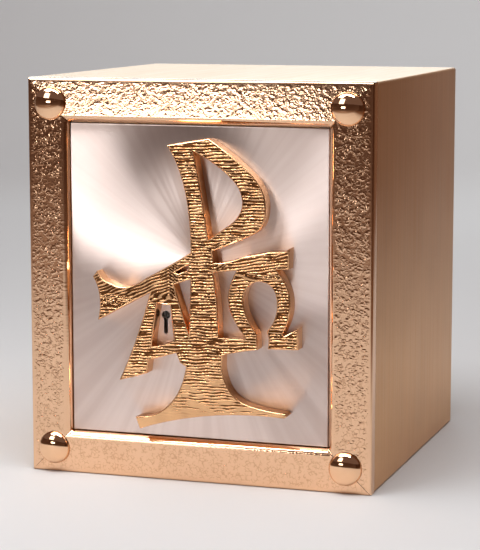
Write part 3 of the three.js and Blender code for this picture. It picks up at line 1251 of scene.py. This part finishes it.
@dataclass
class DoorPlate:
    """The silver plate, with a chamfered front edge, a keyhole and the two pivot bores."""

    thickness: float = 8.0
    chamfer: float = 1.2
    key_x: float = -26.32
    key_z: float = 130.92
    key_radius: float = 3.45
    slot_width: float = 3.3
    slot_reach: float = 14.9
    pivot_inset: float = 5.0
    pivot_depth: float = 6.0
    pin_radius: float = 1.65
    pin_reach: float = 10.3
    cut_spare: float = 3.0

    @property
    def half_width(self) -> float:
        """Half of the plate's width."""
        return WIDTH / 2 - MOULDING_WIDTH - DOOR_CLEARANCE

    def build(self) -> Piece:
        """Models the plate.

        Returns:
            The plate.
        """
        bottom, top = MOULDING_WIDTH + DOOR_CLEARANCE, HEIGHT - MOULDING_WIDTH - DOOR_CLEARANCE
        low = place(-self.half_width, DOOR_SETBACK, bottom)
        high = place(self.half_width, DOOR_SETBACK + self.thickness, top)
        plate = block("silver_plate", low, high)
        with editing(plate):
            pick(plate, Pick.EDGE, lambda p: abs(p.y - low.y) < TINY)
            bpy.ops.mesh.bevel(offset=self.chamfer * MM, segments=2, profile=0.5, affect="EDGES")
        self._cut_keyhole(plate)
        for end in (bottom, top):
            combine(plate, self._bore(end), "DIFFERENCE")
        clean(plate, 25.0)
        return plate

    def _cut_keyhole(self, plate: Piece) -> None:
        """Cuts the round hole with its slot.

        Args:
            plate: The plate.
        """
        front, back = DOOR_SETBACK - self.cut_spare, DOOR_SETBACK + self.thickness + self.cut_spare
        half = self.slot_width / 2
        foot = self.key_z - self.slot_reach + half
        combine(plate, cylinder_along_y(self.key_radius, front, back, self.key_x, self.key_z), "DIFFERENCE")
        low, high = place(self.key_x - half, front, foot), place(self.key_x + half, back, self.key_z)
        combine(plate, block("slot", low, high), "DIFFERENCE")
        combine(plate, cylinder_along_y(half, front, back, self.key_x, foot), "DIFFERENCE")

    def _bore(self, end: float) -> Piece:
        """Makes the tool for the pivot bore at the plate's upper or lower edge.

        Args:
            end: The height of that edge.

        Returns:
            The tool.
        """
        deselect_all()
        bpy.ops.mesh.primitive_cylinder_add(
            vertices=32, radius=self.pin_radius * MM, depth=2 * self.pin_reach * MM,
            location=place(self.half_width - self.pivot_inset, self.pivot_depth, end),
        )
        tool = bpy.context.object
        apply_transform(tool)
        return tool


@dataclass(frozen=True)
class Zone:
    """A part of the casting's face where the grooves turn, with soft limits in millimetres.

    The first number of a limit is where the turning starts, and the second where it is full.
    """

    side: Range
    foot: Range
    head: Range
    turn: float

    def angle(self, x: float, z: float) -> float:
        """Gives how many degrees the grooves turn at a place.

        Args:
            x: Millimetres across.
            z: Millimetres up.

        Returns:
            The angle in degrees.
        """
        share = smoothstep(*self.side, x) * smoothstep(*self.foot, z) * smoothstep(*self.head, z)
        return self.turn * share


@dataclass(frozen=True)
class Bark:
    """The pattern of the bark-like grooves: waves that wander, break, and fade out towards the foot."""

    pitch: float = 2.35
    smooth_below: float = 48.0
    full_above: float = 112.0
    lean: float = 2.0
    zones: tuple[Zone, ...] = (
        Zone(side=(-8.0, -20.0), foot=(135.0, 150.0), head=(190.0, 175.0), turn=20.0),
        Zone(side=(15.0, 30.0), foot=(164.0, 169.0), head=(196.0, 186.0), turn=7.0),
    )
    wander: float = 3.2
    wander_size: Range = (11.0, 9.0)
    wander_layer: float = 3.1
    breaks: float = 1.5
    break_size: Range = (9.0, 2.1)
    break_layer: float = 7.7
    fade: float = 1.1
    wave_span: Range = (-0.5, 0.3)
    onset_span: Range = (0.0, 0.15)

    def depth(self, x: float, z: float) -> float:
        """Gives the grooves' depth at a place: broken strokes that follow the arms.

        Args:
            x: Millimetres across.
            z: Millimetres up.

        Returns:
            A depth from 0 to 1.
        """
        turn = math.radians(sum(zone.angle(x, z) for zone in self.zones) + self.lean)
        along = x * math.cos(turn) + z * math.sin(turn)
        across = z * math.cos(turn) - x * math.sin(turn)
        wander, breaks = (
            noise.noise(Vector((along / size[0], across / size[1], layer)))
            for size, layer in ((self.wander_size, self.wander_layer), (self.break_size, self.break_layer))
        )
        wave = math.sin(2 * math.pi * across / self.pitch + self.wander * wander)
        presence = smoothstep(self.smooth_below, self.full_above, z)
        reach = wave + self.breaks * breaks - self.fade * (1 - presence)
        strength = (0.5 + 0.5 * presence) * smoothstep(*self.onset_span, presence)
        return strength * smoothstep(*self.wave_span, reach)


@dataclass
class Monogram:
    """The casting: seven strokes joined in one, with a rounded rim and a bark-like face.

    Points are in hundredths of its width and height. A step of two numbers is a corner, and one of
    four is a curve, as the point that pulls it and the point where it ends.
    """

    left: float = -82.4
    right: float = 84.5
    bottom: float = 42.0
    top: float = 270.0
    thickness: float = 12.2
    rim: float = 1.0
    merge: float = 0.05
    flat_angle: float = 0.4
    level_step: float = 0.4
    spare: float = 9.0
    curve_steps: int = 9
    cell_across: float = 1.0
    cell_up: float = 0.42
    quick_factor: int = 6
    groove_depth: float = 0.65
    rim_share: float = 0.75
    bark: Bark = Bark()
    strokes: dict[str, tuple[Step, ...]] = field(default_factory=lambda: {
        "rho": (
            (37, 97.5), (57.3, 100), (67.9, 95.2, 78.5, 87.9), (84.7, 83.1, 84.6, 77.4),
            (84.6, 71.7, 80.3, 69.3), (75.7, 66.9, 58.8, 62.3), (59.7, 58.5), (59.6, 54.4),
            (61.3, 45.2), (62.1, 33.1), (63.5, 26.3), (63.5, 21.9), (46, 21.9),
            (47.2, 29.8, 47.7, 37.7), (48.3, 52.5), (48.4, 63.6), (47.9, 86, 37, 97.5),
        ),
        "foot": (
            (41.1, 29.8), (63.9, 29.8), (63.6, 23.2), (64.6, 14.7, 73.3, 11.3), (80.5, 9.1, 94, 8.5),
            (95, 7.7), (93.7, 6.9), (55.8, 8.6, 22.9, 0), (20.9, 4), (26.5, 4.5),
            (31.4, 5.2, 35.5, 7.7), (43.7, 12.5, 46, 22.5), (43.1, 23.7), (41.1, 27),
        ),
        "base_bar": (
            (27.7, 24), (41.1, 27), (63.9, 27.2), (70.3, 28.5, 80.7, 29.7), (80.5, 34.9), (74.5, 33.9),
            (74.3, 33), (41, 33), (41, 32), (37.4, 29.6, 29.1, 28.7), (22.4, 28.1),
        ),
        "alpha": (
            (28.5, 47.4), (40.1, 50.7), (46.3, 36.8), (48.8, 30.7), (40.3, 30.7), (39.8, 33.3),
            (38.3, 43.3), (31.9, 43.9), (30.3, 35.7), (29.1, 28.7), (27.6, 23.9), (26.8, 19.5),
            (20.6, 18), (12.8, 16.4), (21.8, 29.8, 28.5, 47.4),
        ),
        "left_arm": (
            (50.6, 62.3), (47.6, 61.2), (38.5, 56.9, 26.5, 52.2), (19.4, 47.9, 11.6, 49), (5.1, 50.9),
            (2, 53.9), (0, 51.9), (5.3, 45.6, 2.3, 36.9), (13.1, 41.2), (27.6, 47), (40.1, 50.4),
            (48.3, 52.5), (50.6, 52.5),
        ),
        "right_arm": (
            (54.2, 55), (59.8, 55.3), (71.4, 56.2), (95.5, 57.3), (95.8, 64.3), (93.7, 63.1),
            (86.3, 62.8), (79.3, 61.6, 74.3, 61), (66.1, 58.3, 59.7, 58.4), (54.2, 58.3),
        ),
        "omega": (
            (80.7, 29.8), (80.4, 35.1), (73.9, 41.2, 74, 46.5), (74.8, 52.4, 81.7, 52.8),
            (90.1, 52.6, 89.9, 44.3), (89.5, 39.7, 85.1, 36.1), (86, 33.7), (85.7, 30.1), (100, 30.4),
            (100, 37.7), (93.4, 34.8), (92.5, 35.3), (96.4, 40.1, 96.4, 45.6), (96.1, 52.9, 88.3, 57.9),
            (71.4, 57.5), (66.4, 50.9, 66.4, 46.1), (66.9, 40.4, 74.5, 33.9), (74.3, 30.3),
        ),
    })
    holes: dict[str, tuple[Step, ...]] = field(default_factory=lambda: {
        "rho": (
            (49.9, 95.6), (52, 89, 53.4, 82.7), (55.2, 75.4, 57.1, 66.2), (66.6, 71.1),
            (73.1, 74.3, 73.3, 78.9), (73.2, 83.1, 68.4, 86.6), (59.9, 92.5, 49.9, 95.6),
        ),
        "left_arm": ((40.7, 54.6), (42.2, 54.1), (47.3, 55.6), (47.3, 57.4)),
    })

    @property
    def back(self) -> float:
        """The depth of the casting's back."""
        return DOOR_SETBACK - TOUCH_GAP

    @property
    def front(self) -> float:
        """The depth of the casting's face."""
        return self.back - self.thickness

    @property
    def face_y(self) -> float:
        """Where the casting's face lies along Y, in metres."""
        return place(0, self.front, 0).y

    def outline(self, steps: Sequence[Step]) -> list[tuple[float, float]]:
        """Gives the points of an outline in millimetres, with its curves divided.

        Args:
            steps: The outline's corners and curves.

        Returns:
            The points.
        """
        points = [steps[0][:2]]
        for step in steps[1:]:
            if len(step) == 2:
                points.append(step)
                continue
            start, pull, end = points[-1], step[:2], step[2:]
            for count in range(1, self.curve_steps + 1):
                t = count / self.curve_steps
                weights = ((1 - t) ** 2, 2 * t * (1 - t), t * t)
                points.append(tuple(
                    sum(weight * point[axis] for weight, point in zip(weights, (start, pull, end)))
                    for axis in (0, 1)
                ))
        if math.dist(points[0], points[-1]) < 0.01:
            points.pop()
        width, height = (self.right - self.left) / 100, (self.top - self.bottom) / 100
        return [(self.left + x * width, self.bottom + z * height) for x, z in points]

    def build(self) -> Piece:
        """Models the strokes, joins them and works the face.

        Returns:
            The casting.
        """
        casting = None
        for name, steps in self.strokes.items():
            stroke = self._stroke(name, steps)
            if casting is None:
                casting = stroke
            else:
                combine(casting, stroke, "UNION")
        casting.name = "cast_monogram"
        self._level(casting)
        self._round_rim(casting)
        self._divide_face(casting)
        self._groove(casting)
        clean(casting, 50.0)
        return casting

    def _stroke(self, name: str, steps: Sequence[Step]) -> Piece:
        """Models one stroke, with its hole if it has one. Each stands out further than the last.

        Args:
            name: The stroke's name.
            steps: Its outline.

        Returns:
            The stroke.
        """
        proud = self.level_step * (1 + list(self.strokes).index(name))
        stroke = trace(name, self.outline(steps), self.front - proud, self.back + proud)
        if name in self.holes:
            hole = self.outline(self.holes[name])
            tool = trace("hole", hole, self.front - self.spare, self.back + self.spare)
            combine(stroke, tool, "DIFFERENCE")
        return stroke

    def _level(self, casting: Piece) -> None:
        """Cuts the joined strokes, which stand out unevenly, level at the face and at the back.

        Args:
            casting: The joined strokes.
        """
        for near, far in ((self.front - self.spare, self.front), (self.back, self.back + self.spare)):
            tool = block("level", place(-WIDTH / 2, near, 0), place(WIDTH / 2, far, HEIGHT))
            combine(casting, tool, "DIFFERENCE")

    def _round_rim(self, casting: Piece) -> None:
        """Rounds the front edge all along the joined outline.

        Args:
            casting: The joined strokes.
        """
        front = self.face_y
        with editing(casting):
            bpy.ops.mesh.select_all(action="SELECT")
            bpy.ops.mesh.remove_doubles(threshold=self.merge * MM)
            bpy.ops.mesh.dissolve_limited(angle_limit=math.radians(self.flat_angle), delimit={"NORMAL"})
            bpy.ops.mesh.normals_make_consistent(inside=False)
            bpy.ops.mesh.select_mode(type="EDGE")
            bpy.ops.mesh.select_all(action="DESELECT")
            mesh = bmesh.from_edit_mesh(casting.data)
            for edge in mesh.edges:
                walls = [abs(f.normal.y) < 0.5 for f in edge.link_faces]
                at_front = all(abs(v.co.y - front) < TINY for v in edge.verts)
                edge.select_set(at_front and walls.count(True) == 1)
            bmesh.update_edit_mesh(casting.data)
            bpy.ops.mesh.bevel(
                offset=self.rim * MM, segments=4, profile=0.5, affect="EDGES", clamp_overlap=False
            )

    def _divide_face(self, casting: Piece) -> None:
        """Divides the flat face into small cells, for the grooves.

        Args:
            casting: The joined strokes.
        """
        front = self.face_y
        coarser = 1
        with editing(casting):
            pick(casting, Pick.FACE, lambda p: abs(p.y - front) < 2 * TINY)
            bpy.ops.mesh.hide(unselected=True)
            x = self.left + self.cell_across
            while x < self.right:
                self._slice(place(x, 0, 0), (1, 0, 0))
                x += self.cell_across * coarser
            z = self.bark.smooth_below
            while z < self.top:
                self._slice(place(0, 0, z), (0, 0, 1))
                z += self.cell_up * coarser
            bpy.ops.mesh.reveal(select=False)

    @staticmethod
    def _slice(point: Vector, normal: tuple[int, int, int]) -> None:
        """Divides the faces that aren't hidden along a plane."""
        bpy.ops.mesh.select_all(action="SELECT")
        bpy.ops.mesh.bisect(plane_co=point, plane_no=normal)

    def _groove(self, casting: Piece) -> None:
        """Presses the bark-like grooves into the face, and stores their depth for the finish's bump and its
        painted shade in the grooves.

        Args:
            casting: The casting with its divided face.
        """
        front = self.face_y
        rim = set()
        for polygon in casting.data.polygons:
            if abs(polygon.normal.y) < 0.995:
                rim.update(polygon.vertices)
        group = casting.vertex_groups.new(name="cut")
        depths = [0.0] * len(casting.data.vertices)
        for vertex in casting.data.vertices:
            if abs(vertex.co.y - front) < 2 * TINY:
                depth = self.bark.depth(vertex.co.x / MM, vertex.co.z / MM)
                depths[vertex.index] = depth * (self.rim_share if vertex.index in rim else 1.0)
                group.add([vertex.index], depths[vertex.index], "REPLACE")
        modify(
            casting, "DISPLACE", strength=self.groove_depth * MM, mid_level=0.0, direction="Y",
            space="LOCAL", vertex_group="cut",
        )
        mark = casting.data.attributes.new("groove", "FLOAT", "POINT")
        for index, depth in enumerate(depths):
            mark.data[index].value = depth


# Stage


class Reach(Enum):
    """Which surfaces a studio light falls on: all of them, the metals alone or the floor alone."""

    ALL = "all"
    GLOSS = "gloss"
    MATT = "matt"


@dataclass(frozen=True)
class SoftBox:
    """A rectangular studio light."""

    name: str
    centre: tuple[float, float, float]
    aim: tuple[float, float, float]
    size: tuple[float, float]
    power: float
    tint: Colour = (1.0, 1.0, 1.0)
    reach: Reach = Reach.ALL

    def build(self) -> None:
        """Adds the light, turned to what it aims at."""
        data = bpy.data.lights.new(self.name, "AREA")
        data.shape = "RECTANGLE"
        data.size, data.size_y = self.size
        data.energy = self.power
        data.color = self.tint
        lamp = bpy.data.objects.new(self.name, data)
        bpy.context.scene.collection.objects.link(lamp)
        lamp.location = self.centre
        lamp.rotation_euler = (Vector(self.centre) - Vector(self.aim)).to_track_quat("Z", "Y").to_euler()
        lamp.visible_camera = False
        lamp.visible_glossy = self.reach is not Reach.MATT
        lamp.visible_diffuse = self.reach is not Reach.GLOSS


@dataclass
class Studio:
    """A pale floor that curves up into a wall all round, with painted shade far out in front and to the
    right, soft lights, a dim room and the camera.
    """

    floor_radius: float = 2.6
    wall_radius: float = 1.4
    wall_steps: int = 12
    floor_roughness: float = 0.75
    pale: Colour = (0.79, 0.79, 0.79)
    front_brown: Colour = (0.42, 0.30, 0.23)
    # Painted shade: brown zones on the floor far out in front and to the right, standing in for the dim
    # room's shade in the metals' reflections.
    front_slant: float = 0.5
    front_span: Range = (-1.5, -0.95)
    right_brown: Colour = (0.24, 0.13, 0.075)
    right_span: Range = (0.32, 0.85)
    room_colour: Colour = (0.75, 0.53, 0.48)
    room_strength: float = 0.2
    sensor: float = 36.0
    lens: float = 133.45
    camera_place: tuple[float, float, float] = (0.51766, -1.60897, 0.38743)
    camera_azimuth: float = 18.20
    camera_elevation: float = 8.177
    lights: tuple[SoftBox, ...] = (
        SoftBox(
            "key", centre=(-1.09, -2.0, 1.35), aim=(0.0, -0.14, 0.25), size=(0.9, 0.9), power=8.2,
            tint=(1.0, 0.99, 0.98),
        ),
        SoftBox(
            "low", centre=(-0.85, -2.4, 0.42), aim=(0.0, -0.14, 0.3), size=(0.6, 0.22), power=3.0,
            reach=Reach.GLOSS,
        ),
        SoftBox(
            "overhead", centre=(-0.05, -0.5, 1.5), aim=(0.0, -0.1, 0.0), size=(1.4, 0.9), power=20.5,
            tint=(0.96, 0.98, 1.0), reach=Reach.MATT,
        ),
        SoftBox(
            "sheen", centre=(-0.05, -0.52, 1.4), aim=(0.0, -0.14, 0.2), size=(1.2, 0.35), power=23.0,
            tint=(0.96, 0.98, 1.0), reach=Reach.GLOSS,
        ),
        SoftBox(
            "side", centre=(-0.6, -0.6, 1.25), aim=(0.0, -0.14, 0.2), size=(0.6, 0.35), power=8.8,
            tint=(0.96, 0.98, 1.0), reach=Reach.GLOSS,
        ),
        SoftBox(
            "backdrop", centre=(0.4, 1.9, 2.2), aim=(0.3, 3.3, 0.3), size=(3.0, 1.0), power=38.0,
            tint=(0.93, 0.98, 1.0), reach=Reach.MATT,
        ),
        SoftBox(
            "rear", centre=(-0.75, 2.0, 0.95), aim=(0.0, 0.0, 0.3), size=(1.6, 0.9), power=8.3,
            tint=(0.77, 0.94, 1.0), reach=Reach.GLOSS,
        ),
    )

    def build(self) -> None:
        """Adds the floor, the lights, the surroundings and the camera."""
        self._floor()
        for light in self.lights:
            light.build()
        self._surroundings()
        self._camera()

    def _floor(self) -> None:
        """Models the floor from a disc whose edge is turned up."""
        deselect_all()
        bpy.ops.mesh.primitive_circle_add(vertices=96, radius=self.floor_radius, fill_type="NOTHING")
        floor = bpy.context.object
        floor.name = "floor"
        step = math.pi / 2 / self.wall_steps
        with editing(floor):
            bpy.ops.mesh.select_mode(type="EDGE")
            bpy.ops.mesh.select_all(action="SELECT")
            for count in range(self.wall_steps):
                angle, last = (count + 1) * step, count * step
                out = self.wall_radius * (math.sin(angle) - math.sin(last))
                up = self.wall_radius * (math.cos(last) - math.cos(angle))
                reach = self.floor_radius + self.wall_radius * math.sin(last)
                extrude(Vector((0, 0, up)))
                grow = (reach + out) / reach
                bpy.ops.transform.resize(value=(grow, grow, 1), center_override=(0, 0, 0))
            pick(floor, Pick.EDGE, lambda p: p.z < TINY)
            bpy.ops.mesh.edge_face_add()
            bpy.ops.mesh.select_all(action="SELECT")
            bpy.ops.mesh.normals_make_consistent(inside=True)
        take(floor)
        bpy.ops.object.shade_smooth()
        floor.data.materials.append(self._floor_material())

    def _floor_material(self) -> bpy.types.Material:
        """Makes the floor's pale, matt material, with painted shade: brown far out in front and to the
        right, which the metals reflect as the dim room's shade.

        Returns:
            The material.
        """
        material = bpy.data.materials.new("pale_floor")
        material.use_nodes = True
        graph = Graph(material.node_tree)
        shader = graph.add("BsdfPrincipled", {"Roughness": self.floor_roughness})
        parts = graph.add("SeparateXYZ", {0: graph.coordinates()})
        # Painted shade: the floor turns brown far out in front and to the right.
        slant = graph.math("MULTIPLY_ADD", parts.outputs[0], self.front_slant, parts.outputs[1])
        front = graph.span(slant, *self.front_span, 1.0, 0.0)
        right = graph.span(parts.outputs[0], *self.right_span)
        colour = graph.blend(front, graph.blend(right, self.pale, self.right_brown), self.front_brown)
        graph.feed(shader.inputs["Base Color"], colour)
        graph.add("OutputMaterial", {"Surface": shader.outputs[0]})
        return material

    def _surroundings(self) -> None:
        """Sets a dim, warm world."""
        world = bpy.data.worlds.new("studio")
        world.use_nodes = True
        background = world.node_tree.nodes["Background"]
        background.inputs["Color"].default_value = (*self.room_colour, 1.0)
        background.inputs["Strength"].default_value = self.room_strength
        bpy.context.scene.world = world
        bpy.context.scene.view_settings.view_transform = "Standard"

    def _camera(self) -> None:
        """Adds the camera."""
        data = bpy.data.cameras.new("camera")
        data.lens = self.lens
        data.sensor_width = self.sensor
        data.sensor_fit = "AUTO"
        camera = bpy.data.objects.new("camera", data)
        bpy.context.scene.collection.objects.link(camera)
        camera.location = self.camera_place
        azimuth, elevation = math.radians(self.camera_azimuth), math.radians(self.camera_elevation)
        camera.rotation_euler = Euler((math.pi / 2 - elevation, 0, azimuth))
        bpy.context.scene.camera = camera


@dataclass
class Tabernacle:
    """The whole piece: its sub-assemblies, its finishes and the solids that stay as they are."""

    cabinet: Cabinet = field(default_factory=Cabinet)
    moulding: Moulding = field(default_factory=Moulding)
    studs: Studs = field(default_factory=Studs)
    door: DoorPlate = field(default_factory=DoorPlate)
    monogram: Monogram = field(default_factory=Monogram)
    finishes: Finishes = field(default_factory=Finishes)
    kept: dict[str, str] = field(default_factory=lambda: {
        "back_plate": "satin_gold",
        "front_surround": "satin_gold",
        "hinge_pin_top": "lock_steel",
        "hinge_pin_bottom": "lock_steel",
        "lock_case": "lock_steel",
        "lock_bolt": "lock_steel",
    })

    def build(self, nodes: dict[str, Piece]) -> None:
        """Builds and dresses every piece.

        Args:
            nodes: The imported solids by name.
        """
        materials = self.finishes.make_all()
        dress(self.cabinet.build(), materials, "satin_gold", Body.CABINET, "case_shell")
        bars = self.moulding.build()
        self.studs.cut_seats(bars)
        for side, bar in bars.items():
            dress(bar, materials, "hammered_gold", Body.CABINET, f"moulding_{side.name.lower()}")
        for corner, stud in self.studs.build().items():
            dress(stud, materials, "polished_gold", Body.CABINET, f"corner_stud_{corner}")
        dress(self.door.build(), materials, "brushed_silver", Body.DOOR, "door_plate")
        dress(self.monogram.build(), materials, "cast_gold", Body.DOOR, "monogram")
        for name, slot in self.kept.items():
            nodes[name].data.materials.clear()
            nodes[name].data.materials.append(materials[slot])
            log.info("%s keeps its solid, in %s", name, slot)


def corners(box: tuple[Vector, Vector]) -> list[list[float]]:
    """Gives a box's two corners as plain lists."""
    return [list(corner) for corner in box]


def main() -> None:
    """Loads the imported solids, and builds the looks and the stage."""
    logging.basicConfig(level=logging.INFO, format="%(name)s: %(message)s")
    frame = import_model()
    Tabernacle().build(frame["nodes"])
    Studio().build()


if __name__ == "__main__":
    main()
